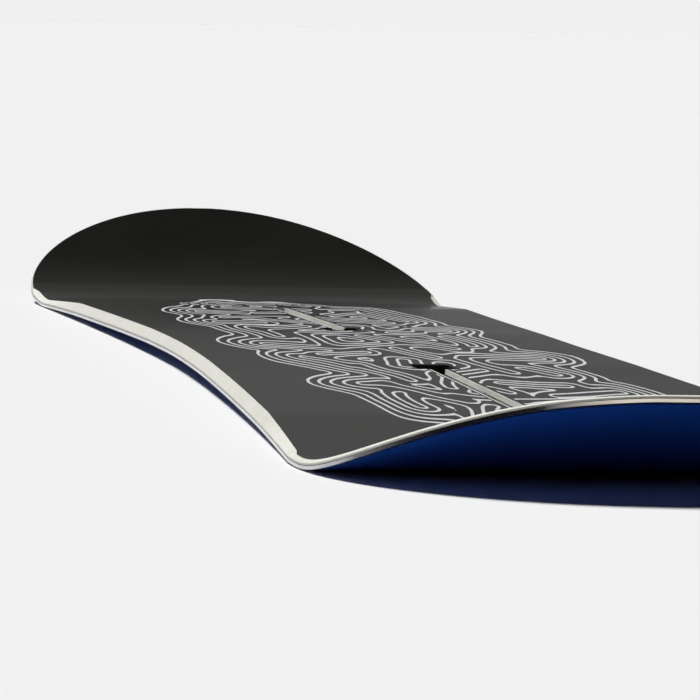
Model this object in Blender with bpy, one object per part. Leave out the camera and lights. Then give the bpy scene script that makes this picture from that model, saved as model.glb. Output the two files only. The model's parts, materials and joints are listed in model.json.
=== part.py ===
"""Snowboard: base, glass laminates and a strip-laminated wood core inside off-white walls and a steel edge.

Metres. +X points to the nose, +Y to the left and +Z up, and the origin is on the floor under the middle.
Every layer reads the same stations, outline and side profile, so that all of them lie parallel.
Two slotted channels are let into the core on the centre line, and each holds two sliding threaded nuts.
"""

import math

import bmesh
import bpy
from mathutils import Matrix

# Outline, seen from above
RUNNING_LENGTH = 1.175
NOSE_LENGTH = 0.215
TAIL_LENGTH = 0.166
END_WIDTH = 0.296
WAIST_WIDTH = 0.2524
WAIST_SETBACK = 0.0065
SIDECUT_POWER = 1.56
NOSE_ROUNDNESS = 2.02
TAIL_ROUNDNESS = 2.36

# Side profile of the running base
NOSE_CONTACT_INSIDE = 0.042
TAIL_CONTACT_OUTSIDE = 0.023
CONTACT_STRIP = 0.012
CAMBER = 0.007
NOSE_RISE = 0.0574
TAIL_RISE = 0.0439
NOSE_KICK_POWER = 1.48
TAIL_KICK_POWER = 1.80

# Thickness of the layers, and the bond line between them
BOND = 0.0003
BASE_SHEET = 0.0009
LOWER_GLASS = 0.0005
CORE_MIDDLE = 0.0046
CORE_END = 0.0010
CORE_FLAT_REACH = 0.430
UPPER_GLASS = 0.0005
TOP_SHEET = 0.0005

# Steel edge and the rubber foil on it
EDGE_WIDTH = 0.0020
ANCHOR_THICKNESS = 0.0005
ANCHOR_ROOT = 0.0010
ANCHOR_REACH = 0.0060
ANCHOR_PITCH = 0.030
FOIL = 0.0003
FOIL_SETBACK = 0.0013

# Off-white walls and end spacers
WALL_WIDTH = 0.0090
WALL_SKIRT = 0.0010
WALL_FACE = 0.0003
WALL_LIP = 0.0003
BEVEL_SIDE = 0.0042
BEVEL_NOSE = 0.0008
BEVEL_TAIL = 0.0020
BEVEL_BLEND = 0.013

# Wood strips of the core, each side of the centre one
SIDE_STRIP = 0.0255
STRIPS_EACH_SIDE = 4

# Binding channels, measured outwards from the middle of the stance
STANCE_SETBACK = 0.046
STANCE_TO_POCKET = 0.140
CHANNEL_MARGIN = 0.010
POCKET_LENGTH = 0.027
POCKET_WIDTH = 0.022
POCKET_CORNER = 0.0025
SLOT_WIDTH = 0.008
SLOT_END = 0.270
COLLAR_WALL = 0.0012
COLLAR_DROP = 0.0002
RAIL_END_WALL = 0.003
RAIL_CORNER = 0.001
RAIL_FLOOR = 0.0010
CAVITY_WIDTH = 0.017
CAVITY_HEIGHT = 0.0024
CAVITY_CORNER = 0.0006
CAVITY_ENTRY = 0.0012

# Sliding nuts
NUT_LENGTH = 0.020
NUT_CORNER = 0.002
NUT_TRAVEL = 0.098
NUT_SPACING = 0.002
NECK_LENGTH = 0.012
NECK_HEIGHT = 0.0008
NECK_CORNER = 0.0015
THREAD_RADIUS = 0.0025

# How finely the shapes are cut into facets
STATION_PITCH = 0.042
SHORTEST_FACET = 0.005
KICK_FACET = 0.014
END_FACETS = 15
ROUND_FACETS = 8
CORNER_FACETS = 2
THREAD_FACETS = 12
CUTTER_MARGIN = 0.002
SLOPE_STEP = 0.0005

# Places along the board that follow from the sizes above
LENGTH = NOSE_LENGTH + RUNNING_LENGTH + TAIL_LENGTH
NOSE_TIP_X = LENGTH / 2
TAIL_TIP_X = -LENGTH / 2
NOSE_WIDEST_X = NOSE_TIP_X - NOSE_LENGTH
TAIL_WIDEST_X = TAIL_TIP_X + TAIL_LENGTH
WAIST_X = (NOSE_WIDEST_X + TAIL_WIDEST_X) / 2 - WAIST_SETBACK
NOSE_CONTACT_X = NOSE_WIDEST_X - NOSE_CONTACT_INSIDE
TAIL_CONTACT_X = TAIL_WIDEST_X - TAIL_CONTACT_OUTSIDE
STANCE_X = -STANCE_SETBACK
CHANNEL_HALF = POCKET_WIDTH / 2 + COLLAR_WALL
CHANNEL_NEAR = STANCE_TO_POCKET - COLLAR_WALL
CHANNEL_FAR = STANCE_TO_POCKET + SLOT_END + RAIL_END_WALL
LAST_ANGLE = math.pi / 2 * END_FACETS / (END_FACETS + 0.5)

# Heights over the underside of the base
ANCHOR_LOW = BASE_SHEET + BOND
EDGE_HEIGHT = ANCHOR_LOW + ANCHOR_THICKNESS
LOWER_GLASS_LOW = BASE_SHEET + BOND
CORE_LOW = LOWER_GLASS_LOW + LOWER_GLASS + BOND
FOIL_LOW = EDGE_HEIGHT + BOND
SKIRT_LOW = EDGE_HEIGHT + BOND
WALL_LOW = FOIL_LOW + FOIL + BOND
BEVEL_LOW = WALL_LOW + WALL_FACE
CHANNEL_TOP = CORE_LOW + CORE_MIDDLE + BOND + UPPER_GLASS + BOND + TOP_SHEET
CAVITY_LOW = CORE_LOW + RAIL_FLOOR
CAVITY_HIGH = CAVITY_LOW + CAVITY_HEIGHT


def half_width(x):
    """Half the board's width at x: a sidecut between the widest sections, a superellipse round each end."""
    if TAIL_WIDEST_X <= x <= NOSE_WIDEST_X:
        reach = NOSE_WIDEST_X - WAIST_X if x > WAIST_X else WAIST_X - TAIL_WIDEST_X
        depth = (END_WIDTH - WAIST_WIDTH) / 2
        return WAIST_WIDTH / 2 + depth * (abs(x - WAIST_X) / reach) ** SIDECUT_POWER
    along, roundness, _ = end_share(x)
    return END_WIDTH / 2 * (1 - along**roundness) ** (1 / roundness)


def end_share(x):
    """How far x lies round an end, from 0 at its widest section, with its roundness and true length."""
    if x > NOSE_WIDEST_X:
        distance, length, roundness = x - NOSE_WIDEST_X, NOSE_LENGTH, NOSE_ROUNDNESS
    else:
        distance, length, roundness = TAIL_WIDEST_X - x, TAIL_LENGTH, TAIL_ROUNDNESS
    cut = math.sin(LAST_ANGLE) ** (2 / roundness)
    return min(distance / length, 1.0) * cut, roundness, length / cut


def inset_point(x, inset):
    """The left-hand outline point at x, moved in by inset square to the outline."""
    y = half_width(x)
    if TAIL_WIDEST_X <= x <= NOSE_WIDEST_X:
        low = max(x - SLOPE_STEP, TAIL_WIDEST_X)
        high = min(x + SLOPE_STEP, NOSE_WIDEST_X)
        slope = (half_width(high) - half_width(low)) / (high - low)
        return x, y - inset * math.hypot(1, slope)
    along, roundness, length = end_share(x)
    outward_x = along ** (roundness - 1) / length
    outward_y = (2 * y / END_WIDTH) ** (roundness - 1) / (END_WIDTH / 2)
    size = math.hypot(outward_x, outward_y)
    towards = 1 if x > 0 else -1
    return x - towards * inset * outward_x / size, y - inset * outward_y / size


def free_base_line(x):
    """The base's height over the floor: camber, a flat strip at each contact line, then the kicks."""
    nose_strip = CONTACT_STRIP / 2 + NOSE_CONTACT_X
    tail_strip = TAIL_CONTACT_X - CONTACT_STRIP / 2
    if x > nose_strip:
        return NOSE_RISE * ((x - nose_strip) / (NOSE_TIP_X - nose_strip)) ** NOSE_KICK_POWER
    if x < tail_strip:
        return TAIL_RISE * ((tail_strip - x) / (tail_strip - TAIL_TIP_X)) ** TAIL_KICK_POWER
    middle = (NOSE_CONTACT_X + TAIL_CONTACT_X) / 2
    reach = (NOSE_CONTACT_X - TAIL_CONTACT_X - CONTACT_STRIP) / 2
    return CAMBER * max(0.0, 1 - ((x - middle) / reach) ** 2)


def channel_zone(side):
    """Lowest and highest x of the straight stretch that carries the nose (1) or tail (-1) channel."""
    near = STANCE_X + side * (STANCE_TO_POCKET - CHANNEL_MARGIN)
    far = STANCE_X + side * (STANCE_TO_POCKET + SLOT_END + CHANNEL_MARGIN)
    return min(near, far), max(near, far)


def base_line(x):
    """The base's height over the floor, drawn straight along each channel so that its rail is straight."""
    for side in (1, -1):
        low, high = channel_zone(side)
        if low < x < high:
            share = (x - low) / (high - low)
            return free_base_line(low) * (1 - share) + free_base_line(high) * share
    return free_base_line(x)


def raised(x, y, height):
    """The point over the base line at x, at a height square to the base."""
    slope = (base_line(x + SLOPE_STEP) - base_line(x - SLOPE_STEP)) / (2 * SLOPE_STEP)
    rise = height / math.hypot(1, slope)
    return x - slope * rise, y, base_line(x) + rise


def core_high(x):
    """Height of the core's top over the base: full along the channels, then tapering to the contacts."""
    contact = NOSE_CONTACT_X if x > STANCE_X else TAIL_CONTACT_X
    taper = abs(contact - STANCE_X) - CORE_FLAT_REACH
    share = min(max((abs(x - STANCE_X) - CORE_FLAT_REACH) / taper, 0.0), 1.0)
    return CORE_LOW + CORE_MIDDLE + (CORE_END - CORE_MIDDLE) * share


def upper_glass_low(x):
    return core_high(x) + BOND


def upper_glass_high(x):
    return upper_glass_low(x) + UPPER_GLASS


def top_sheet_low(x):
    return upper_glass_high(x) + BOND


def board_high(x):
    return top_sheet_low(x) + TOP_SHEET


def bevel_width(x):
    """Width of the milled bevel: wide along the side walls, blending to a narrow one round each end."""
    end = BEVEL_NOSE if x > 0 else BEVEL_TAIL
    beyond = max(x - NOSE_WIDEST_X, TAIL_WIDEST_X - x, 0.0)
    share = min(beyond / BEVEL_BLEND, 1.0)
    return BEVEL_SIDE + (end - BEVEL_SIDE) * share * share * (3 - 2 * share)


def sheet_inset(x):
    """How far the inlaid top layers stay inside the outline."""
    return bevel_width(x) + WALL_LIP + BOND


def end_positions(widest_x, tip_x, roundness):
    """Stations round an end, closer together where the outline turns in."""
    places = []
    for k in range(1, END_FACETS + 1):
        angle = LAST_ANGLE * k / END_FACETS
        along = (math.sin(angle) / math.sin(LAST_ANGLE)) ** (2 / roundness)
        places.append(widest_x + (tip_x - widest_x) * along)
    return places


def shared_stations():
    """The cuts that all layers share, from the tail's tip to the nose's."""
    strip = CONTACT_STRIP / 2
    fixed = [TAIL_TIP_X, TAIL_WIDEST_X, NOSE_WIDEST_X, NOSE_TIP_X, WAIST_X]
    fixed += [TAIL_WIDEST_X - BEVEL_BLEND, NOSE_WIDEST_X + BEVEL_BLEND]
    fixed += [NOSE_CONTACT_X - strip, NOSE_CONTACT_X + strip, TAIL_CONTACT_X - strip, TAIL_CONTACT_X + strip]
    fixed += [STANCE_X - CORE_FLAT_REACH, STANCE_X + CORE_FLAT_REACH, *channel_zone(1), *channel_zone(-1)]
    wanted = end_positions(TAIL_WIDEST_X, TAIL_TIP_X, TAIL_ROUNDNESS)
    wanted += end_positions(NOSE_WIDEST_X, NOSE_TIP_X, NOSE_ROUNDNESS)
    wanted += [NOSE_CONTACT_X + strip + KICK_FACET, TAIL_CONTACT_X - strip - KICK_FACET]
    count = round(RUNNING_LENGTH / STATION_PITCH)
    wanted += [TAIL_WIDEST_X + RUNNING_LENGTH * k / count for k in range(1, count)]
    kept = list(fixed)
    for x in wanted:
        if min(abs(x - other) for other in kept) > SHORTEST_FACET:
            kept.append(x)
    return sorted(kept)


def stations_between(start, stop):
    """The shared stations strictly inside a stretch, with the stretch's own two ends."""
    inside = [x for x in STATIONS if start + SHORTEST_FACET < x < stop - SHORTEST_FACET]
    return [start, *inside, stop]


STATIONS = shared_stations()
SIDE_START = TAIL_WIDEST_X + BOND / 2
SIDE_STOP = NOSE_WIDEST_X - BOND / 2
NOSE_START = NOSE_WIDEST_X + BOND / 2
TAIL_STOP = TAIL_WIDEST_X - BOND / 2


def level(value, x):
    """A height that is either one number or a function of x."""
    return value(x) if callable(value) else value


def rim_point(x, side, inset, height):
    """A point inside the outline, at a height square to the base."""
    px, py = inset_point(x, inset)
    return raised(px, side * py, level(height, px))


def new_collection(name):
    collection = bpy.data.collections.new(name)
    bpy.context.scene.collection.children.link(collection)
    return collection


def finish(bm, name, material, collection):
    """Turns a bmesh into an object with its faces pointing out."""
    bmesh.ops.recalc_face_normals(bm, faces=bm.faces)
    mesh = bpy.data.meshes.new(name)
    bm.to_mesh(mesh)
    bm.free()
    if material:
        mesh.materials.append(material)
    thing = bpy.data.objects.new(name, mesh)
    collection.objects.link(thing)
    return thing


def loft(rings):
    """One closed body through rings of equally many points, and its side faces, ring by ring."""
    bm = bmesh.new()
    rows = [[bm.verts.new(point) for point in ring] for ring in rings]
    sides = []
    for near, far in zip(rows, rows[1:]):
        turns = range(len(near))
        sides.append([bm.faces.new((near[k - 1], near[k], far[k], far[k - 1])) for k in turns])
    bm.faces.new(rows[0])
    bm.faces.new(rows[-1])
    return bm, sides


def sheet(name, inset, low, high, material):
    """A layer that reaches across the whole board, inside the outline by inset."""
    rings = []
    for x in STATIONS:
        step_in = level(inset, x)
        left = [rim_point(x, 1, step_in, low), rim_point(x, 1, step_in, high)]
        right = [rim_point(x, -1, step_in, high), rim_point(x, -1, step_in, low)]
        rings.append(left + right)
    bm, _ = loft(rings)
    return finish(bm, name, material, BOARD)


def rim_rings(route, profile):
    """Rings of a profile of (inset, height) pairs along a route of (x, side) pairs."""
    return [[rim_point(x, side, level(inset, x), high) for inset, high in profile] for x, side in route]


def side_route(side, places):
    return [(x, side) for x in places]


def end_route(start, tip):
    """Round one end, from the left-hand widest section over the tip to the right-hand one."""
    places = stations_between(min(start, tip), max(start, tip))
    if tip < start:
        places.reverse()
    return side_route(1, places) + side_route(-1, places[::-1])


def anchored_edge(name, route, material):
    """A steel edge run: square head, thin inner root, and an anchor tooth on every other facet."""
    root = EDGE_WIDTH + ANCHOR_ROOT
    profile = [(0, 0), (0, EDGE_HEIGHT), (root, EDGE_HEIGHT), (root, ANCHOR_LOW), (EDGE_WIDTH, ANCHOR_LOW)]
    profile += [(EDGE_WIDTH, 0)]
    inner = profile.index((root, ANCHOR_LOW))
    bm, sides = loft(rim_rings(route, profile))
    for faces in sides[1:-1:2]:
        tooth = bmesh.ops.extrude_discrete_faces(bm, faces=[faces[inner]])["faces"][0]
        for vert in tooth.verts:
            vert.co += reach_in(vert.co, ANCHOR_REACH - ANCHOR_ROOT)
    return finish(bm, name, material, BOARD)


def reach_in(point, distance):
    """The step from a point near the rim straight in from the outline, level with the base."""
    side = 1 if point.y > 0 else -1
    x = min(max(point.x, TAIL_TIP_X), NOSE_TIP_X)
    outer_x, outer_y = inset_point(x, 0)
    inner_x, inner_y = inset_point(x, distance)
    step = point.copy()
    step.x = inner_x - outer_x
    step.y = side * (inner_y - outer_y)
    step.z = base_line(point.x + step.x) - base_line(point.x)
    return step


def edge_places():
    """Cuts along a side edge, two to each anchor tooth."""
    count = 2 * round((SIDE_STOP - SIDE_START) / ANCHOR_PITCH) + 1
    return [SIDE_START + (SIDE_STOP - SIDE_START) * k / count for k in range(count + 1)]


def edges_and_foils():
    steel = paint("edge_steel", (0.55, 0.56, 0.58), 0.28, 1.0)
    rubber = paint("foil_rubber", (0.030, 0.031, 0.033), 0.75)
    foil_inset = EDGE_WIDTH + ANCHOR_REACH
    foil_profile = [(FOIL_SETBACK, FOIL_LOW), (FOIL_SETBACK, FOIL_LOW + FOIL)]
    foil_profile += [(foil_inset, FOIL_LOW + FOIL), (foil_inset, FOIL_LOW)]
    nose = end_route(NOSE_START, NOSE_TIP_X)
    tail = end_route(TAIL_STOP, TAIL_TIP_X)
    for word, side in (("left", 1), ("right", -1)):
        anchored_edge(f"edge_{word}", side_route(side, edge_places()), steel)
        run = side_route(side, stations_between(SIDE_START, SIDE_STOP))
        bm, _ = loft(rim_rings(run, foil_profile))
        finish(bm, f"foil_{word}", rubber, BOARD)
    for word, route in (("nose", nose), ("tail", tail)):
        anchored_edge(f"edge_{word}", route, steel)
        bm, _ = loft(rim_rings(route, foil_profile))
        finish(bm, f"foil_{word}", rubber, BOARD)


def lip_inset(x):
    return bevel_width(x) + WALL_LIP


def walls_and_spacers():
    """Milled walls along the sides and a full tip fill inside each end, with a skirt that hides the foil.

    All of them have a rebate for the top layers.
    """
    cream = paint("wall_plastic", (0.87, 0.86, 0.78), 0.45)
    skirt = [(WALL_SKIRT, WALL_LOW), (WALL_SKIRT, SKIRT_LOW), (0, SKIRT_LOW)]
    bevel = [(0, BEVEL_LOW), (bevel_width, board_high)]
    outer = [*skirt, *bevel, (lip_inset, board_high), (lip_inset, core_high)]
    wall = [(WALL_WIDTH, WALL_LOW), *outer, (WALL_WIDTH, core_high)]
    for word, side in (("left", 1), ("right", -1)):
        route = side_route(side, stations_between(SIDE_START, SIDE_STOP))
        bm, _ = loft(rim_rings(route, wall))
        finish(bm, f"sidewall_{word}", cream, BOARD)
    half = [(WALL_WIDTH, CORE_LOW), (WALL_WIDTH, WALL_LOW), *outer]
    for word, start, stop in (("nose", NOSE_START, NOSE_TIP_X), ("tail", TAIL_TIP_X, TAIL_STOP)):
        places = stations_between(start, stop)
        left = rim_rings(side_route(1, places), half)
        right = rim_rings(side_route(-1, places), half[::-1])
        bm, _ = loft([a + b for a, b in zip(left, right)])
        finish(bm, f"{word}_spacer", cream, BOARD)


def core_strip(name, start, stop, low_y, high_y, material):
    """One wood strip, whose long faces are given as numbers or as functions of x."""
    rings = []
    for x in stations_between(start, stop):
        near = level(low_y, x)
        far = level(high_y, x)
        top = core_high(x)
        left = [raised(x, near, CORE_LOW), raised(x, near, top)]
        rings.append([*left, raised(x, far, top), raised(x, far, CORE_LOW)])
    bm, _ = loft(rings)
    finish(bm, name, material, BOARD)


def wood_core():
    """A centre strip that stops short of both channels, and whole strips from there to the side walls."""
    pale = paint("core_poplar", (0.62, 0.47, 0.29), 0.7)
    dark = paint("core_beech", (0.50, 0.33, 0.18), 0.7)
    near = CHANNEL_NEAR - BOND
    far = CHANNEL_FAR + BOND
    for word, start, stop in (
        ("nose", STANCE_X + far, SIDE_STOP),
        ("middle", STANCE_X - near, STANCE_X + near),
        ("tail", SIDE_START, STANCE_X - far),
    ):
        core_strip(f"core_centre_{word}", start, stop, -CHANNEL_HALF, CHANNEL_HALF, pale)
    for k in range(STRIPS_EACH_SIDE):
        low = CHANNEL_HALF + BOND + k * (SIDE_STRIP + BOND)
        high = low + SIDE_STRIP
        wood = dark if k % 2 == 0 else pale
        for word, side in (("left", 1), ("right", -1)):
            outermost = k == STRIPS_EACH_SIDE - 1
            edge = (lambda x, s=side: s * inset_point(x, WALL_WIDTH + BOND)[1]) if outermost else side * high
            core_strip(f"core_{word}_{k + 1}", SIDE_START, SIDE_STOP, side * low, edge, wood)


def arc(centre_x, centre_y, radius, start, stop, facets):
    """Points along an arc, angles in degrees."""
    points = []
    for k in range(facets + 1):
        angle = math.radians(start + (stop - start) * k / facets)
        points.append((centre_x + radius * math.cos(angle), centre_y + radius * math.sin(angle)))
    return points


def rounded_plan(start, stop, half, radius):
    """A rectangle along the channel with rounded corners, seen from above."""
    points = arc(start + radius, radius - half, radius, 180, 270, CORNER_FACETS)
    points += arc(stop - radius, radius - half, radius, 270, 360, CORNER_FACETS)
    points += arc(stop - radius, half - radius, radius, 0, 90, CORNER_FACETS)
    points += arc(start + radius, half - radius, radius, 90, 180, CORNER_FACETS)
    return points


def slot_plan(start, grow):
    """The slot from a start to its round outer end, grown all round."""
    half = SLOT_WIDTH / 2 + grow
    return [(start, -half), *arc(SLOT_END - SLOT_WIDTH / 2, 0, half, -90, 90, ROUND_FACETS), (start, half)]


def tee_plan(grow):
    """Loading pocket and slot in one outline, grown all round."""
    radius = POCKET_CORNER + grow
    half = POCKET_WIDTH / 2
    near = POCKET_CORNER
    far = POCKET_LENGTH - POCKET_CORNER
    points = arc(near, POCKET_CORNER - half, radius, 180, 270, CORNER_FACETS)
    points += arc(far, POCKET_CORNER - half, radius, 270, 360, CORNER_FACETS)
    points += slot_plan(POCKET_LENGTH + grow, grow)
    points += arc(far, half - POCKET_CORNER, radius, 0, 90, CORNER_FACETS)
    points += arc(near, half - POCKET_CORNER, radius, 90, 180, CORNER_FACETS)
    return points


def prism(name, outline, low, high, material, collection, place):
    """A flat outline raised from low to high in the channel's own frame."""
    bm = bmesh.new()
    floor = bm.faces.new([bm.verts.new((x, y, low)) for x, y in outline])
    raised = bmesh.ops.extrude_face_region(bm, geom=[floor])["geom"]
    top = [item for item in raised if isinstance(item, bmesh.types.BMVert)]
    bmesh.ops.translate(bm, verts=top, vec=(0, 0, high - low))
    thing = finish(bm, name, material, collection)
    thing.matrix_world = place
    return thing


def cutter(name, outline, low, high, place):
    thing = prism(name, outline, low, high, None, CUTTERS, place)
    thing.hide_render = True
    thing.display_type = "WIRE"
    return thing


def combine(thing, other, operation):
    """Adds or takes away another body, and leaves the modifier open to change."""
    step = thing.modifiers.new(f"{operation.lower()} {other.name}", "BOOLEAN")
    step.operation = operation
    step.object = other


def channel_frame(side):
    """From the channel's own frame, X outwards along it and Z up from the base line, to the world."""
    low, high = channel_zone(side)
    fall = (base_line(low + SLOPE_STEP) - base_line(high - SLOPE_STEP)) * side
    tilt = math.atan2(fall, high - low - 2 * SLOPE_STEP)
    origin_x = STANCE_X + side * STANCE_TO_POCKET
    turn = Matrix.Rotation(0 if side > 0 else math.pi, 4, "Z")
    return Matrix.Translation((origin_x, 0, base_line(origin_x))) @ turn @ Matrix.Rotation(tilt, 4, "Y")


def channel(word, side, sheets, materials):
    """Rail and loading pocket in the line of the centre strip, their window in the sheets, and the nuts."""
    place = channel_frame(side)
    core_top = CORE_LOW + CORE_MIDDLE
    collar_top = CHANNEL_TOP - COLLAR_DROP
    above = CHANNEL_TOP + CUTTER_MARGIN
    rail_start = POCKET_LENGTH + COLLAR_WALL + BOND
    rail_stop = SLOT_END + RAIL_END_WALL
    pocket_span = (-COLLAR_WALL, POCKET_LENGTH + COLLAR_WALL)
    cavity = CAVITY_WIDTH / 2

    opening = cutter(f"opening_{word}", tee_plan(0), CAVITY_LOW, above, place)
    cavity_plan = rounded_plan(POCKET_LENGTH - CAVITY_ENTRY, SLOT_END, cavity, CAVITY_CORNER)
    undercut = cutter(f"undercut_{word}", cavity_plan, CAVITY_LOW, CAVITY_HIGH, place)

    pocket_plan = rounded_plan(*pocket_span, CHANNEL_HALF, POCKET_CORNER + COLLAR_WALL)
    black, pale, steel = materials
    pocket = prism(f"channel_pocket_{word}", pocket_plan, CORE_LOW, collar_top, black, BOARD, place)
    combine(pocket, opening, "DIFFERENCE")
    combine(pocket, undercut, "DIFFERENCE")

    flange_plan = rounded_plan(rail_start, rail_stop, CHANNEL_HALF, RAIL_CORNER)
    rail = prism(f"channel_rail_{word}", flange_plan, CORE_LOW, core_top, pale, BOARD, place)
    collar = cutter(f"collar_{word}", slot_plan(rail_start, COLLAR_WALL), CAVITY_HIGH, collar_top, place)
    combine(rail, collar, "UNION")
    combine(rail, opening, "DIFFERENCE")
    combine(rail, undercut, "DIFFERENCE")

    sheet_window = cutter(f"sheet_window_{word}", tee_plan(COLLAR_WALL + BOND), core_top, above, place)
    for layer in sheets:
        combine(layer, sheet_window, "DIFFERENCE")

    outer = SLOT_END - BOND - NUT_LENGTH / 2
    inner = outer - NUT_TRAVEL - NUT_LENGTH - NUT_SPACING
    nut(f"nut_{word}_outer", outer, steel, place)
    nut(f"nut_{word}_inner", inner, steel, place)


def nut(name, along, material, place):
    """A flat threaded nut with a neck that keys into the slot, its origin on its line of travel."""
    seat = place @ Matrix.Translation((along, 0, CAVITY_LOW + BOND))
    plate = CAVITY_HEIGHT - 2 * BOND
    body_plan = rounded_plan(-NUT_LENGTH / 2, NUT_LENGTH / 2, CAVITY_WIDTH / 2 - BOND, NUT_CORNER)
    neck_plan = rounded_plan(-NECK_LENGTH / 2, NECK_LENGTH / 2, SLOT_WIDTH / 2 - BOND, NECK_CORNER)
    body = prism(name, body_plan, 0, plate, material, BOARD, seat)
    neck = cutter(f"{name}_neck", neck_plan, plate / 2, plate + NECK_HEIGHT, seat)
    thread_plan = arc(0, 0, THREAD_RADIUS, 0, 360, THREAD_FACETS)[:-1]
    thread = cutter(f"{name}_thread", thread_plan, -CUTTER_MARGIN, plate + NECK_HEIGHT + CUTTER_MARGIN, seat)
    combine(body, neck, "UNION")
    combine(body, thread, "DIFFERENCE")


def paint(name, colour, roughness, metallic=0.0):
    """A plain material in linear colour."""
    material = bpy.data.materials.new(name)
    material.use_nodes = True
    shader = material.node_tree.nodes["Principled BSDF"]
    shader.inputs["Base Color"].default_value = (*colour, 1)
    shader.inputs["Roughness"].default_value = roughness
    shader.inputs["Metallic"].default_value = metallic
    return material


for old in list(bpy.data.objects):
    bpy.data.objects.remove(old)
BOARD = new_collection("snowboard")
CUTTERS = new_collection("cutters")

base = sheet("base", EDGE_WIDTH + BOND, 0, BASE_SHEET, paint("base_blue", (0.006, 0.06, 0.44), 0.34))
glass = paint("glass_laminate", (0.55, 0.58, 0.50), 0.35)
anchor_clear = EDGE_WIDTH + ANCHOR_REACH + BOND
sheet("lower_glass", anchor_clear, LOWER_GLASS_LOW, LOWER_GLASS_LOW + LOWER_GLASS, glass)
upper = sheet("upper_glass", sheet_inset, upper_glass_low, upper_glass_high, glass)
cap_paint = paint("cap_black", (0.0075, 0.0074, 0.0062), 0.2)
cap = sheet("topsheet", sheet_inset, top_sheet_low, board_high, cap_paint)
edges_and_foils()
walls_and_spacers()
wood_core()
channel_materials = (
    paint("pocket_black", (0.012, 0.012, 0.012), 0.5),
    paint("rail_plastic", (0.48, 0.47, 0.44), 0.4),
    paint("nut_steel", (0.42, 0.42, 0.43), 0.3, 1.0),
)
channel("nose", 1, (upper, cap), channel_materials)
channel("tail", -1, (upper, cap), channel_materials)
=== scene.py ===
"""Snowboard on a studio floor: satin top with a silver line print, milled walls, ground edge, waxed base.

Metres. +X points to the nose, +Y to the board's left and +Z up from the floor.
"""

import bisect
import json
import math
import random

import bmesh
import bpy
from mathutils import Matrix, Vector, geometry, noise
from mathutils.bvhtree import BVHTree


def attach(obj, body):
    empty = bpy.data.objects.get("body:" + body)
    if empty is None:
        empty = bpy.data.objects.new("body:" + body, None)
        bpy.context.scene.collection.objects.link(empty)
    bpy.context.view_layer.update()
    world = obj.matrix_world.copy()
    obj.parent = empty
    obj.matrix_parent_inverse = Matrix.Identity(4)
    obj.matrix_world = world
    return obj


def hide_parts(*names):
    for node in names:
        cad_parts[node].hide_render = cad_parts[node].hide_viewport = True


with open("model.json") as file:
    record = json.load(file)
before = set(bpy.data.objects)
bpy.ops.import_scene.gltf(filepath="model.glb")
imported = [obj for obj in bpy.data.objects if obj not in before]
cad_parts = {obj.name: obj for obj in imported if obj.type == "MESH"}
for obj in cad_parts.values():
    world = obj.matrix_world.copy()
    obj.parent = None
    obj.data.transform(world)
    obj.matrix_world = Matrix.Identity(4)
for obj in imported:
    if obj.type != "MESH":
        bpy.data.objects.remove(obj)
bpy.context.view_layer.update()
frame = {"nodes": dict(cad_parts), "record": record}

# Camera, from the fit of the board's outline to the photograph
CAMERA_PLACE = (-2.7239, 0.486, 0.2046)
CAMERA_YAW = -0.1719
CAMERA_PITCH = -0.0706
CAMERA_ROLL = 0.0257
LENS = 235.66
FILM_WIDTH = 36.0

# Floor and its far rim
FLOOR_REACH = 400.0
FLOOR_SIDES = 64
FLOOR_DROP = 0.0008
RIM_HEIGHT = 5.0
LEVEL_FACE = 0.5
FLOOR_PAINT = 0.874
FLOOR_BOUNCE = 0.27
BACKGROUND = 0.876

# Overhead lamp, its azimuth counted from +X towards +Y
KEY_LIGHT = 3.65
KEY_SPREAD = 16.0
KEY_AZIMUTH = 35.0
KEY_ELEVATION = 60.0

# Glowing parts of the room, which show only in reflections and to the camera and light nothing, so they are
# painted reflections: their strength, and the pairs of direction values that they fade between
DIM_SKY = 0.003
FAR_SKY = 0.15
FAR_SKY_AHEAD = (0.2, 0.6)
FAR_SKY_RISE = (0.25, 0.5)
FAR_SKY_TOP_SHARE = 0.15
LEFT_SKY = 0.07
LEFT_SKY_ASIDE = (0.4, 0.65)
LEFT_SKY_RISE = (0.1, 0.35)
TAIL_SKY = 1.15
TAIL_SKY_BEHIND = (-0.5, -0.3)
TAIL_SKY_RISE = (0.4, 0.7)
TAIL_SKY_ASIDE = (0.05, 0.42)
TAIL_SKY_TINT = (1.0, 0.90, 0.75)

# Textures: a noise keeps mostly to its middle, and a checker or a crystal runs from 0 to 1
NOISE_LOW = 0.3
NOISE_HIGH = 0.7
FULL_RANGE = (0, 1)
EVEN = (1, 1, 1)

# Round ends and kicks, drawn smooth through the board's own cuts
SMOOTH_NODES = (
    "base", "topsheet", "nose_spacer", "tail_spacer", "sidewall_left", "sidewall_right",
    "edge_nose", "edge_tail", "edge_left", "edge_right",
)
NOSE_WIDEST = 0.563
TAIL_WIDEST = -0.612
ROUND_CUTS = 44
TIP_DEPTH = 0.012
TIP_WANDER = 0.001
WALL_REACH = 0.008
SAME_POINT = 0.000002
SAME_PLACE = 0.0001
SHARP_ANGLE = 0.35

# Place of the line print, and the grid that it is sliced from
PRINT_START = -0.555
PRINT_STOP = 0.560
PRINT_HALF = 0.1120
PRINT_CLOSE = 0.022
PRINT_TAIL_TAPER = 0.16
PRINT_NOSE_TAPER = 0.30
PRINT_END_SLOPE = 1.6
PRINT_SIDE_SLOPE = 3.0
PRINT_STEP_LONG = 0.0028
PRINT_STEP_WIDE = 0.00125

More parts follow.
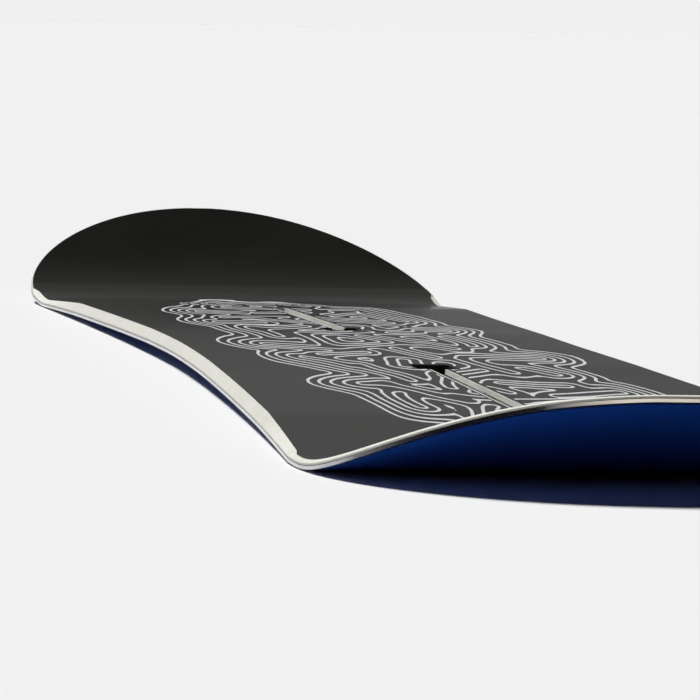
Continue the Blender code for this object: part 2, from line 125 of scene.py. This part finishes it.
# Seed strokes that the print's lines run round
PRINT_DRAW = 41
SEED_TAIL_GAP = 0.085
SEED_NOSE_GAP = 0.095
SEED_PITCH = 0.058
SEED_PITCH_WANDER = (-0.01, 0.014)
SEED_LANE = 0.045
SEED_STAGGER = 0.02
SEED_WANDER = 0.015
SEED_TURNS = (0.15, 0.6, 1.2, 1.57, 1.57, 1.9, 2.6)
SEED_TURN_WANDER = 0.2
SEED_REACH = (0.006, 0.024)
SEED_STRETCH = 2.6
SEED_SOFTNESS = 0.0035
SEED_FELT_WITHIN = 0.13
LEAST_CLOSENESS = 1e-9
WAVE_RATE = (14, 24)
WAVE_LAYER = 3.0
WAVE_REACH = (0.012, 0.006)

# Lines of ink
LINE_SPACING = 0.0054
LINE_HALF = 0.0008
LINE_LONG = 0.0028
LINE_LEVELS = 5
FIRST_LEVEL = 0.55
LEAST_SLOPE = 0.3
FLAT_LEAN = 0.001
INK_LIFT = 0.00004
INK_WELD = 0.00025
INK_SLIVER = 0.00005

# Slots and pockets, which leave no room for print
STANCE_MIDDLE = -0.046
CHANNEL_START = 0.140
CHANNEL_LENGTH = 0.2725
POCKET_LENGTH = 0.0295
CHANNEL_CLEAR = 0.004
SLOT_CLEAR = 0.0063
POCKET_CLEAR = 0.0126


def camera():
    """The photograph's viewpoint, as a turn of yaw, pitch and roll."""
    yaw, pitch, roll = CAMERA_YAW, CAMERA_PITCH, CAMERA_ROLL
    ahead = Vector((math.cos(yaw) * math.cos(pitch), math.sin(yaw) * math.cos(pitch), math.sin(pitch)))
    right = Vector((math.sin(yaw), -math.cos(yaw), 0))
    up = right.cross(ahead)
    across = right * math.cos(roll) + up * math.sin(roll)
    upright = up * math.cos(roll) - right * math.sin(roll)
    data = bpy.data.cameras.new("studio_camera")
    data.sensor_width = FILM_WIDTH
    data.lens = LENS
    data.clip_end = 2 * FLOOR_REACH
    thing = bpy.data.objects.new("studio_camera", data)
    turn = Matrix((across, upright, -ahead)).transposed().to_4x4()
    thing.matrix_world = Matrix.Translation(CAMERA_PLACE) @ turn
    bpy.context.scene.collection.objects.link(thing)
    bpy.context.scene.camera = thing


def surface(name, colour, roughness, metallic=0.0):
    """A new principled surface, its node tree and its shader."""
    material = bpy.data.materials.new(name)
    material.use_nodes = True
    shader = material.node_tree.nodes["Principled BSDF"]
    shader.inputs["Base Color"].default_value = (*colour, 1)
    shader.inputs["Roughness"].default_value = roughness
    shader.inputs["Metallic"].default_value = metallic
    return material, material.node_tree, shader


def plug(tree, source, target):
    tree.links.new(source, target)


def board_place(tree, scale):
    """Object coordinates, stretched by a scale along each axis."""
    place = tree.nodes.new("ShaderNodeTexCoord")
    mapping = tree.nodes.new("ShaderNodeMapping")
    mapping.inputs["Scale"].default_value = scale
    plug(tree, place.outputs["Object"], mapping.inputs["Vector"])
    return mapping.outputs["Vector"]


def grain(tree, scale, size, detail=3.0, roughness=0.5):
    """Noise over the board, its grains stretched by the scale along each axis."""
    texture = tree.nodes.new("ShaderNodeTexNoise")
    texture.inputs["Scale"].default_value = size
    texture.inputs["Detail"].default_value = detail
    texture.inputs["Roughness"].default_value = roughness
    plug(tree, board_place(tree, scale), texture.inputs["Vector"])
    return texture.outputs["Fac"]


def spread(tree, value, low, high, start=0.0, stop=1.0):
    """Maps a value from start..stop to low..high."""
    step = tree.nodes.new("ShaderNodeMapRange")
    step.inputs["From Min"].default_value = start
    step.inputs["From Max"].default_value = stop
    step.inputs["To Min"].default_value = low
    step.inputs["To Max"].default_value = high
    plug(tree, value, step.inputs["Value"])
    return step.outputs["Result"]


def combine(tree, operation, first, second):
    """Sum, product or the greater of two values, the second of which may be a plain number."""
    step = tree.nodes.new("ShaderNodeMath")
    step.operation = operation
    plug(tree, first, step.inputs[0])
    if isinstance(second, float):
        step.inputs[1].default_value = second
    else:
        plug(tree, second, step.inputs[1])
    return step.outputs["Value"]


def blend_paint(tree, share, first, second):
    """A colour between two paints by a share."""
    mix = tree.nodes.new("ShaderNodeMix")
    mix.data_type = "RGBA"
    mix.inputs["A"].default_value = (*first, 1)
    mix.inputs["B"].default_value = (*second, 1)
    plug(tree, share, mix.inputs["Factor"])
    return mix.outputs["Result"]


def paint_by(tree, shader, texture, first, second, start=NOISE_LOW, stop=NOISE_HIGH):
    """Paints the surface between two colours by a texture."""
    share = spread(tree, texture, 0, 1, start, stop)
    plug(tree, blend_paint(tree, share, first, second), shader.inputs["Base Color"])


def roughen_by(tree, shader, texture, low, high, start=NOISE_LOW, stop=NOISE_HIGH):
    """Varies the surface's roughness from low to high by a texture."""
    plug(tree, spread(tree, texture, low, high, start, stop), shader.inputs["Roughness"])


def relief(tree, shader, height, depth):
    """Bump of a real depth in metres."""
    bump = tree.nodes.new("ShaderNodeBump")
    bump.inputs["Distance"].default_value = depth
    plug(tree, height, bump.inputs["Height"])
    plug(tree, bump.outputs["Normal"], shader.inputs["Normal"])


def satin_top():
    """Near-black satin cap with a faint cloudy tone and a fine pebble."""
    material, tree, shader = surface("satin_top", (0.0065, 0.0065, 0.0053), 0.19)
    shader.inputs["Specular Tint"].default_value = (1, 1, 0.86, 1)
    cloud = grain(tree, EVEN, 9, 4)
    paint_by(tree, shader, cloud, (0.0053, 0.0053, 0.0042), (0.0078, 0.0078, 0.0064))
    roughen_by(tree, shader, cloud, 0.17, 0.21)
    relief(tree, shader, grain(tree, EVEN, 2600, 2), 0.000004)
    return material


def silver_ink():
    """Pale bright ink of the line print, with a faint speckle."""
    material, tree, shader = surface("silver_ink", (0.80, 0.82, 0.83), 0.35)
    speckle = grain(tree, EVEN, 900, 2)
    paint_by(tree, shader, speckle, (0.72, 0.755, 0.77), (0.86, 0.87, 0.875))
    roughen_by(tree, shader, speckle, 0.28, 0.42)
    relief(tree, shader, speckle, 0.000008)
    return material


def milled_wall():
    """Off-white wall plastic with fine mill marks along the board and a faint mottle."""
    material, tree, shader = surface("milled_wall", (0.90, 0.89, 0.81), 0.45)
    marks = grain(tree, (0.02, 1, 1), 2400, 2)
    paint_by(tree, shader, grain(tree, EVEN, 60, 4), (0.87, 0.86, 0.77), (0.93, 0.92, 0.85))
    roughen_by(tree, shader, marks, 0.38, 0.52)
    relief(tree, shader, marks, 0.000012)
    return material


def ground_steel():
    """Hardened edge, ground along the board, with short bright and dull runs."""
    material, tree, shader = surface("ground_steel", (0.56, 0.57, 0.59), 0.3, 1.0)
    lines = grain(tree, (0.01, 1, 1), 5200, 2)
    paint_by(tree, shader, grain(tree, EVEN, 26), (0.47, 0.48, 0.50), (0.66, 0.67, 0.69))
    roughen_by(tree, shader, lines, 0.12, 0.24)
    relief(tree, shader, lines, 0.000003)
    return material


def damping_rubber():
    """Dark rubber strip with a fine crumb."""
    material, tree, shader = surface("damping_rubber", (0.03, 0.031, 0.033), 0.75)
    crumb = grain(tree, EVEN, 1800)
    paint_by(tree, shader, crumb, (0.022, 0.023, 0.024), (0.04, 0.041, 0.043), *FULL_RANGE)
    roughen_by(tree, shader, crumb, 0.65, 0.85, *FULL_RANGE)
    relief(tree, shader, crumb, 0.00002)
    return material


def waxed_base():
    """Deep blue running base with the fine stone grind that runs along the board under its wax."""
    material, tree, shader = surface("waxed_base", (0.012, 0.105, 0.64), 0.34)
    grind = grain(tree, (0.015, 1, 1), 2200, 2)
    paint_by(tree, shader, grain(tree, EVEN, 14, 4), (0.011, 0.095, 0.59), (0.013, 0.115, 0.69))
    roughen_by(tree, shader, grind, 0.28, 0.42)
    relief(tree, shader, grind, 0.00001)
    return material


def glass_laminate():
    """Cured glass cloth: a small square weave in pale green resin."""
    material, tree, shader = surface("glass_weave", (0.55, 0.58, 0.50), 0.35)
    checker = tree.nodes.new("ShaderNodeTexChecker")
    checker.inputs["Scale"].default_value = 400
    plug(tree, board_place(tree, (1, 1, 0)), checker.inputs["Vector"])
    weave = checker.outputs["Fac"]
    paint_by(tree, shader, weave, (0.50, 0.54, 0.45), (0.60, 0.63, 0.55), *FULL_RANGE)
    roughen_by(tree, shader, weave, 0.3, 0.4, *FULL_RANGE)
    relief(tree, shader, weave, 0.00003)
    return material


def planed_wood(name, pale, dark):
    """A planed strip: long streaks of early and late wood with open pores."""
    material, tree, shader = surface(name, pale, 0.6)
    pores = grain(tree, (0.03, 1, 1), 1500, 2)
    paint_by(tree, shader, grain(tree, (0.04, 1, 1), 260, 5, 0.6), pale, dark, 0.35, 0.65)
    roughen_by(tree, shader, pores, 0.5, 0.72)
    relief(tree, shader, pores, 0.00004)
    return material


def moulded_plastic(name, dark, pale, gloss):
    """Moulded plastic with a fine spark-eroded skin."""
    material, tree, shader = surface(name, pale, gloss)
    skin = grain(tree, EVEN, 1700)
    paint_by(tree, shader, grain(tree, EVEN, 45), dark, pale)
    roughen_by(tree, shader, skin, gloss - 0.07, gloss + 0.07)
    relief(tree, shader, skin, 0.00002)
    return material


def zinc_steel():
    """Zinc-plated pressing with a fine crystal mottle."""
    material, tree, shader = surface("zinc_steel", (0.42, 0.42, 0.43), 0.32, 1.0)
    cells = tree.nodes.new("ShaderNodeTexVoronoi")
    cells.inputs["Scale"].default_value = 900
    plug(tree, board_place(tree, EVEN), cells.inputs["Vector"])
    crystal = cells.outputs["Distance"]
    paint_by(tree, shader, crystal, (0.36, 0.36, 0.365), (0.5, 0.5, 0.52), *FULL_RANGE)
    roughen_by(tree, shader, crystal, 0.26, 0.42, *FULL_RANGE)
    relief(tree, shader, crystal, 0.00001)
    return material


def finish_cad():
    """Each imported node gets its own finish, by the slot that the record names."""
    # Painted shade: the pockets are painted near black to stand in for the shade inside the T pockets.
    pocket_shade_dark, pocket_shade_pale = (0.009, 0.009, 0.009), (0.015, 0.015, 0.015)
    finishes = {
        "base_blue": waxed_base(),
        "glass_laminate": glass_laminate(),
        "cap_black": satin_top(),
        "edge_steel": ground_steel(),
        "foil_rubber": damping_rubber(),
        "wall_plastic": milled_wall(),
        "core_poplar": planed_wood("poplar", (0.66, 0.51, 0.32), (0.54, 0.39, 0.23)),
        "core_beech": planed_wood("beech", (0.54, 0.37, 0.21), (0.42, 0.27, 0.14)),
        "rail_plastic": moulded_plastic("rail_plastic_moulded", (0.72, 0.71, 0.67), (0.82, 0.81, 0.77), 0.4),
        "pocket_black": moulded_plastic("pocket_painted_shade", pocket_shade_dark, pocket_shade_pale, 0.5),
        "nut_steel": zinc_steel(),
    }
    slots = {row["node"]: row["material_slot"] for row in frame["record"]["subparts"]}
    for name, node in frame["nodes"].items():
        node.data.materials.clear()
        node.data.materials.append(finishes[slots[name]])
    for name in SMOOTH_NODES:
        smooth_copy(name, finishes[slots[name]])


def everything(bm):
    """All that a cut may go through."""
    return bm.verts[:] + bm.edges[:] + bm.faces[:]


class Outline:
    """A piece's own rim round one end of the board: straight between its cuts, or smooth through them."""

    def __init__(self, bm, widest):
        spots = [v.co.copy() for v in bm.verts if v.co.x * widest > 0 and abs(v.co.x) > abs(widest)]
        hull = [spots[k] for k in geometry.convex_hull_2d([spot.xy for spot in spots])]
        rim = sorted((spot for spot in hull if spot.y > 0), key=lambda spot: spot.x)
        rim = [spot for k, spot in enumerate(rim) if k == 0 or spot.x - rim[k - 1].x > SAME_PLACE]
        self.places = [spot.x for spot in rim]
        self.straight = ([spot.y for spot in rim], [spot.z for spot in rim])
        self.curves = ([spot.y * spot.y for spot in rim], [spot.z for spot in rim])
        self.slopes = [self.gentle_slopes(values) for values in self.curves]

    def gentle_slopes(self, values):
        """A slope at each cut that never overshoots its neighbours."""
        steps = [b - a for a, b in zip(self.places, self.places[1:])]
        rates = [(b - a) / step for a, b, step in zip(values, values[1:], steps)]
        slopes = [rates[0]]
        for k in range(1, len(rates)):
            before, after = rates[k - 1], rates[k]
            if before * after <= 0:
                slopes.append(0.0)
            else:
                near, far = 2 * steps[k] + steps[k - 1], steps[k] + 2 * steps[k - 1]
                slopes.append((near + far) / (near / before + far / after))
        return [*slopes, rates[-1]]

    def at(self, x):
        """The straight width and height at x, their slopes, and how far the smooth ones lie over them."""
        x = min(max(x, self.places[0]), self.places[-1])
        k = min(bisect.bisect_right(self.places, x), len(self.places) - 1) - 1
        step = self.places[k + 1] - self.places[k]
        t = (x - self.places[k]) / step
        flat = [row[k] + (row[k + 1] - row[k]) * t for row in self.straight]
        tilt = [(row[k + 1] - row[k]) / step for row in self.straight]
        bent = []
        for row, slopes in zip(self.curves, self.slopes):
            start = (1 + 2 * t) * (1 - t) ** 2 * row[k] + t * (1 - t) ** 2 * step * slopes[k]
            stop = t * t * (3 - 2 * t) * row[k + 1] + t * t * (t - 1) * step * slopes[k + 1]
            bent.append(start + stop)
        return flat, tilt, math.sqrt(max(bent[0], 0.0)) - flat[0], bent[1] - flat[1]

    def bend(self, vert):
        """Moves a point by as much as the smooth rim lies over the straight one, square across from it."""
        flat, tilt, _, _ = self.at(vert.co.x)
        x = vert.co.x + tilt[1] * (vert.co.z - flat[1]) / (1 + tilt[1] * tilt[1])
        flat, tilt, _, _ = self.at(x)
        inside = (flat[0] - abs(vert.co.y)) / (1 + tilt[0] * tilt[0])
        if 0 < inside < WALL_REACH:
            x -= inside * tilt[0]
        flat, _, wider, higher = self.at(x)
        vert.co.y += wider * max(min(vert.co.y / flat[0], 1.0), -1.0)
        vert.co.z += higher


def close_tip(bm):
    """Carries a tip fill's lip across the tip, between the two last cuts of its left and right sides."""
    tip = max(bm.verts, key=lambda vert: abs(vert.co.x)).co.copy()
    ends = [
        vert for vert in bm.verts
        if abs(vert.co.x - tip.x) < TIP_DEPTH and abs(abs(vert.co.y) - abs(tip.y)) < TIP_WANDER
    ]
    cap = [face for face in bm.faces if all(vert in ends for vert in face.verts)]
    bmesh.ops.delete(bm, geom=cap, context="FACES_ONLY")
    loose = [edge for edge in bm.edges if not edge.link_faces]
    bmesh.ops.delete(bm, geom=loose, context="EDGES")
    open_edges = [edge for edge in bm.edges if edge.is_boundary]
    left = [edge for edge in open_edges if min(vert.co.y for vert in edge.verts) > 0]
    right = [edge for edge in open_edges if max(vert.co.y for vert in edge.verts) < 0]
    for edge in left:
        middle = (edge.verts[0].co + edge.verts[1].co) / 2
        across = Vector((middle.x, -middle.y, middle.z))
        twin = min(right, key=lambda other: ((other.verts[0].co + other.verts[1].co) / 2 - across).length)
        bmesh.ops.contextual_create(bm, geom=[edge, twin])
    bmesh.ops.recalc_face_normals(bm, faces=bm.faces)


def smooth_copy(name, finish):
    """A rim piece's stand-in: cut finer round both ends, bent onto its smooth outline and shaded smooth."""
    bm = bmesh.new()
    bm.from_mesh(frame["nodes"][name].data)
    bmesh.ops.remove_doubles(bm, verts=bm.verts, dist=SAME_POINT)
    if name.endswith("spacer"):
        close_tip(bm)
    reach = max(vert.co.x for vert in bm.verts), min(vert.co.x for vert in bm.verts)
    for tip, widest in zip(reach, (NOSE_WIDEST, TAIL_WIDEST)):
        if (tip - widest) * math.copysign(1, widest) < TIP_DEPTH:
            continue
        outline = Outline(bm, widest)
        for k in range(ROUND_CUTS):
            x = widest + (tip - widest) * math.sin(math.pi / 2 * k / ROUND_CUTS)
            cut = {"plane_co": (x, 0, 0), "plane_no": (1, 0, 0), "dist": SAME_POINT}
            bmesh.ops.bisect_plane(bm, geom=everything(bm), **cut)
        for vert in bm.verts:
            if vert.co.x * widest > 0 and abs(vert.co.x) > abs(widest):
                outline.bend(vert)
    for face in bm.faces:
        face.smooth = True
    for edge in bm.edges:
        edge.smooth = edge.calc_face_angle(0) < SHARP_ANGLE
    mesh = bpy.data.meshes.new(f"{name}_finish")
    bm.to_mesh(mesh)
    bm.free()
    mesh.materials.append(finish)
    thing = bpy.data.objects.new(f"{name}_finish", mesh)
    bpy.context.scene.collection.objects.link(thing)
    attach(thing, "board")
    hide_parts(name)


def print_room(x):
    """How much of its full width the print takes at x: it narrows to a point towards both ends."""
    return min((x - PRINT_START) / PRINT_TAIL_TAPER, (PRINT_STOP - x) / PRINT_NOSE_TAPER, 1.0)


def print_seeds():
    """Short strokes strewn over the top, which the print's lines run round."""
    spin = random.Random(PRINT_DRAW)
    seeds = []
    x = PRINT_START + SEED_TAIL_GAP
    row = 0
    while x < PRINT_STOP - SEED_NOSE_GAP:
        room = print_room(x)
        for lane in (-1, 0, 1):
            across = (lane * SEED_LANE + (row % 2 - 0.5) * SEED_STAGGER) * room
            middle = Vector((x + spin.uniform(-SEED_WANDER, SEED_WANDER), across))
            turn = spin.choice(SEED_TURNS) + spin.uniform(-SEED_TURN_WANDER, SEED_TURN_WANDER)
            reach = spin.uniform(*SEED_REACH) * room
            half = Vector((math.cos(turn) * reach * SEED_STRETCH, math.sin(turn) * reach))
            seeds.append((middle - half, middle + half))
        x += SEED_PITCH + spin.uniform(*SEED_PITCH_WANDER)
        row += 1
    return seeds


def stroke_distance(place, seed):
    """Distance to a seed stroke, with the board's length drawn together by the stretch."""
    start, stop = seed
    squeeze = Vector((1 / SEED_STRETCH, 1))
    along = (stop - start) * squeeze
    away = (place - start) * squeeze
    share = min(max(away.dot(along) / along.dot(along), 0.0), 1.0)
    return (away - along * share).length


def print_height(x, y, seeds):
    """A soft-edged distance to the nearest seeds, waved by a slow noise."""
    wave = noise.noise_vector(Vector((x * WAVE_RATE[0], y * WAVE_RATE[1], WAVE_LAYER)))
    place = Vector((x + wave.x * WAVE_REACH[0], y + wave.y * WAVE_REACH[1]))
    closeness = 0.0
    for seed in seeds:
        if abs(seed[0].x + seed[1].x - 2 * place.x) < 2 * SEED_FELT_WITHIN:
            closeness += math.exp(-stroke_distance(place, seed) / SEED_SOFTNESS)
    past_end = max(PRINT_START + PRINT_CLOSE - x, x - PRINT_STOP + PRINT_CLOSE, 0.0)
    past_side = max(abs(y) - PRINT_HALF + PRINT_CLOSE / 2, 0.0)
    distance = -SEED_SOFTNESS * math.log(max(closeness, LEAST_CLOSENESS))
    return distance + past_end * PRINT_END_SLOPE + past_side * PRINT_SIDE_SLOPE


def near_channel(x, y):
    """True where the slots and pockets leave no room for print."""
    for side in (1, -1):
        along = side * (x - STANCE_MIDDLE) - CHANNEL_START
        if -CHANNEL_CLEAR < along < POCKET_LENGTH and abs(y) < POCKET_CLEAR:
            return True
        if -CHANNEL_CLEAR < along < CHANNEL_LENGTH and abs(y) < SLOT_CLEAR:
            return True
    return False


def print_field():
    """A grid over the print's place with the channels left out, as high as the distance to the seeds."""
    noise.seed_set(PRINT_DRAW)
    seeds = print_seeds()
    columns = round((PRINT_STOP - PRINT_START) / PRINT_STEP_LONG)
    rows = round(2 * PRINT_HALF / PRINT_STEP_WIDE)
    middle = (PRINT_START + PRINT_STOP) / 2
    field = bmesh.new()
    bmesh.ops.create_grid(field, x_segments=columns, y_segments=rows, size=0.5)
    for vert in field.verts:
        vert.co.x = middle + vert.co.x * columns * PRINT_STEP_LONG
        vert.co.y *= rows * PRINT_STEP_WIDE
        vert.co.z = print_height(vert.co.x, vert.co.y, seeds)
    hidden = [face for face in field.faces if near_channel(*face.calc_center_median().xy)]
    bmesh.ops.delete(field, geom=hidden, context="FACES")
    bmesh.ops.triangulate(field, faces=field.faces)
    field.normal_update()
    return field


def line_rise(vert):
    """How far the field rises over half the width of a line there. Lines across the board are wider."""
    slope = max(vert.normal.xy.length / vert.normal.z, LEAST_SLOPE)
    along, across = (vert.normal.xy + Vector((0, FLAT_LEAN))).normalized()
    return slope * math.hypot(along * LINE_LONG, across * LINE_HALF)


def line_print():
    """Ribbons of ink: a height field of distance, sliced at even levels and laid just over the top."""
    field = print_field()
    heights = [vert.co.z for vert in field.verts]
    rises = [line_rise(vert) for vert in field.verts]
    ink = bmesh.new()
    for k in range(LINE_LEVELS):
        level = (k + FIRST_LEVEL) * LINE_SPACING
        band = field.copy()
        for vert, height, rise in zip(band.verts, heights, rises):
            vert.co.z = (height - level) / rise
        for edge, clear in ((1, {"clear_outer": True}), (-1, {"clear_inner": True})):
            cut = {"plane_co": (0, 0, edge), "plane_no": (0, 0, 1), **clear}
            bmesh.ops.bisect_plane(band, geom=everything(band), **cut)
        mesh = bpy.data.meshes.new("band")
        band.to_mesh(mesh)
        band.free()
        ink.from_mesh(mesh)
        bpy.data.meshes.remove(mesh)
    field.free()

    top = bpy.data.meshes["topsheet_finish"]
    tree = BVHTree.FromPolygons([v.co for v in top.vertices], [p.vertices for p in top.polygons])
    for vert in ink.verts:
        spot, _, _, _ = tree.ray_cast(Vector((vert.co.x, vert.co.y, 1)), Vector((0, 0, -1)))
        vert.co.z = spot.z + INK_LIFT
    bmesh.ops.remove_doubles(ink, verts=ink.verts, dist=INK_WELD)
    bmesh.ops.dissolve_degenerate(ink, edges=ink.edges, dist=INK_SLIVER)
    mesh = bpy.data.meshes.new("line_print")
    ink.to_mesh(mesh)
    ink.free()
    mesh.materials.append(silver_ink())
    thing = bpy.data.objects.new("line_print", mesh)
    bpy.context.scene.collection.objects.link(thing)
    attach(thing, "board")


def studio_floor():
    """A wide pale floor with a low rim wall. What the light bounces off is darker than what the eye sees."""
    bm = bmesh.new()
    bmesh.ops.create_circle(bm, cap_ends=True, segments=FLOOR_SIDES, radius=FLOOR_REACH)
    rim = [edge for edge in bm.edges if edge.is_boundary]
    wall = bmesh.ops.extrude_edge_only(bm, edges=rim)["geom"]
    high = [item for item in wall if isinstance(item, bmesh.types.BMVert)]
    bmesh.ops.translate(bm, verts=high, vec=(0, 0, RIM_HEIGHT))
    bmesh.ops.translate(bm, verts=bm.verts, vec=(0, 0, -FLOOR_DROP))
    mesh = bpy.data.meshes.new("studio_floor")
    bm.to_mesh(mesh)
    bm.free()
    thing = bpy.data.objects.new("studio_floor", mesh)
    bpy.context.scene.collection.objects.link(thing)
    mesh.materials.append(floor_paint())
    mesh.materials.append(rim_paint())
    for face in mesh.polygons:
        face.material_index = 0 if abs(face.normal.z) > LEVEL_FACE else 1


def seen_share(tree):
    """1 for rays that show the background: the camera's, mirrored and passed-through ones."""
    path = tree.nodes.new("ShaderNodeLightPath")
    mirrored = combine(tree, "MAXIMUM", path.outputs["Is Glossy Ray"], path.outputs["Is Transmission Ray"])
    return combine(tree, "MAXIMUM", path.outputs["Is Camera Ray"], mirrored)


def floor_paint():
    """Matt paint, pale to the eye and dim to the light that it bounces back."""
    material, tree, shader = surface("floor_paint", (FLOOR_PAINT,) * 3, 1.0)
    shader.inputs["Specular IOR Level"].default_value = 0.0
    paint = blend_paint(tree, seen_share(tree), (FLOOR_BOUNCE,) * 3, (FLOOR_PAINT,) * 3)
    plug(tree, paint, shader.inputs["Base Color"])
    return material


def rim_paint():
    """The far rim glows as pale as the lit floor, so that the two run into each other."""
    material, tree, shader = surface("rim_paint", (0, 0, 0), 1.0)
    shader.inputs["Specular IOR Level"].default_value = 0.0
    shader.inputs["Emission Color"].default_value = (1, 1, 1, 1)
    plug(tree, spread(tree, seen_share(tree), 0, BACKGROUND), shader.inputs["Emission Strength"])
    return material


def studio_sky():
    """A dim room with three glowing parts that the board mirrors, painted reflections that light nothing,
    and pale behind the rim to the camera.
    """
    world = bpy.data.worlds.new("studio_room")
    world.use_nodes = True
    bpy.context.scene.world = world
    tree = world.node_tree
    sky = tree.nodes["Background"]
    way = tree.nodes.new("ShaderNodeTexCoord")
    parts = tree.nodes.new("ShaderNodeSeparateXYZ")
    plug(tree, way.outputs["Generated"], parts.inputs["Vector"])
    x, y, z = parts.outputs["X"], parts.outputs["Y"], parts.outputs["Z"]

    ahead = spread(tree, x, 0, FAR_SKY, *FAR_SKY_AHEAD)
    far = combine(tree, "MULTIPLY", ahead, spread(tree, z, 1, FAR_SKY_TOP_SHARE, *FAR_SKY_RISE))
    beside = spread(tree, y, 0, LEFT_SKY, *LEFT_SKY_ASIDE)
    left = combine(tree, "MULTIPLY", beside, spread(tree, z, 1, 0, *LEFT_SKY_RISE))
    behind = spread(tree, x, 1, 0, *TAIL_SKY_BEHIND)
    high = combine(tree, "MULTIPLY", behind, spread(tree, z, 0, TAIL_SKY, *TAIL_SKY_RISE))
    tail = combine(tree, "MULTIPLY", high, spread(tree, y, 1, 0, *TAIL_SKY_ASIDE))
    plug(tree, blend_paint(tree, tail, (1, 1, 1), TAIL_SKY_TINT), sky.inputs["Color"])

    # Painted reflection: the glow counts only for camera, mirrored and passed-through rays, so it lights
    # nothing.
    reflected_glow = combine(tree, "ADD", combine(tree, "ADD", far, left), tail)
    seen = combine(tree, "MULTIPLY", reflected_glow, seen_share(tree))
    path = tree.nodes.new("ShaderNodeLightPath")
    behind_rim = spread(tree, path.outputs["Is Camera Ray"], 0, BACKGROUND)
    strength = combine(tree, "MAXIMUM", combine(tree, "ADD", seen, DIM_SKY), behind_rim)
    plug(tree, strength, sky.inputs["Strength"])


def overhead_lamp():
    """A broad far lamp above the nose and the board's left."""
    data = bpy.data.lights.new("overhead", "SUN")
    data.energy = KEY_LIGHT
    data.angle = math.radians(KEY_SPREAD)
    thing = bpy.data.objects.new("overhead", data)
    away = Vector((1, 0, 0))
    away.rotate(Matrix.Rotation(-math.radians(KEY_ELEVATION), 3, "Y"))
    away.rotate(Matrix.Rotation(math.radians(KEY_AZIMUTH), 3, "Z"))
    thing.rotation_mode = "QUATERNION"
    thing.rotation_quaternion = away.to_track_quat("Z", "Y")
    bpy.context.scene.collection.objects.link(thing)


camera()
studio_floor()
studio_sky()
overhead_lamp()
finish_cad()
line_print()
bpy.context.scene.view_settings.view_transform = "Standard"
